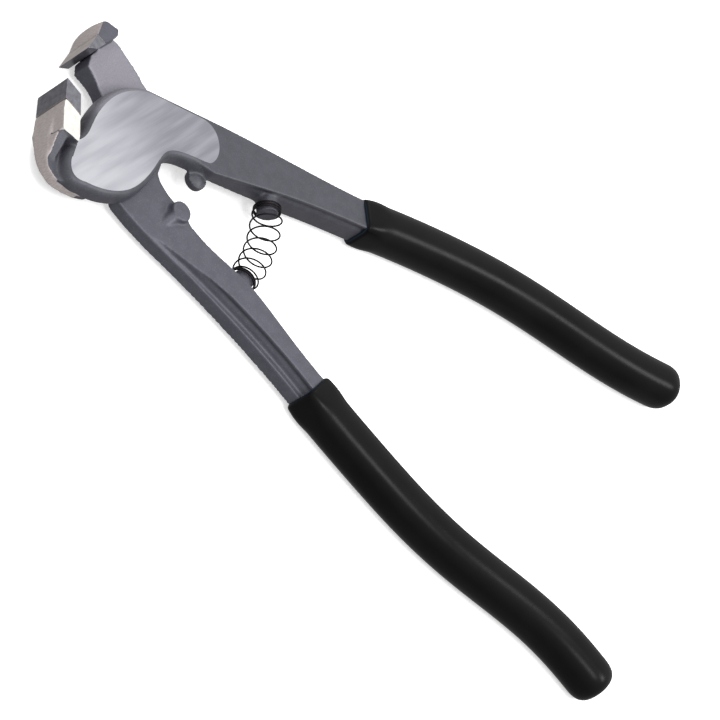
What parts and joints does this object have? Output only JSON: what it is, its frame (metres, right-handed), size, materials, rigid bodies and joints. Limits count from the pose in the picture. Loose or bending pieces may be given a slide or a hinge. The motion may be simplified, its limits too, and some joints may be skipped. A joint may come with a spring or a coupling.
{
  "type": "tile nippers",
  "caption": "Offset tile nippers: two lapped forged levers on a ground rivet, brazed carbide cutting tips, a return spring and dipped vinyl grips.",
  "frame": {"origin": "on the pivot axis, in the hub's back ground face", "axes": "+X from the pivot towards the handles, along their bisector when open; +Y towards the front lever's handle; +Z out of the front ground face"},
  "size_m": [0.2063, 0.1147, 0.0126],
  "materials": {
    "forged_steel": "dark grey lacquered forging, fine grain",
    "ground_steel": "ground flush",
    "carbide": "ground tungsten carbide",
    "braze_metal": "bright fillet",
    "spring_wire": "black oiled music wire",
    "vinyl": "satin dipped vinyl"
  },
  "bodies": {
    "front_half": {"front_lever": "forged_steel", "front_tip": "carbide", "front_braze": "braze_metal", "front_grip": "vinyl", "pivot_rivet": "ground_steel", "return_spring": "spring_wire"},
    "rear_half": {"rear_lever": "forged_steel", "rear_tip": "carbide", "rear_braze": "braze_metal", "rear_grip": "vinyl"}
  },
  "joints": [
    {"name": "pivot", "type": "hinge", "parent": "front_half", "child": "rear_half", "pos_m": [0, 0, 0.0045], "axis": [0, 0, 1], "range_deg": [0, 22], "stiffness_Nm_per_rad": 0.5, "springref_deg": -17.19, "deforming": ["return_spring"]}
  ]
}
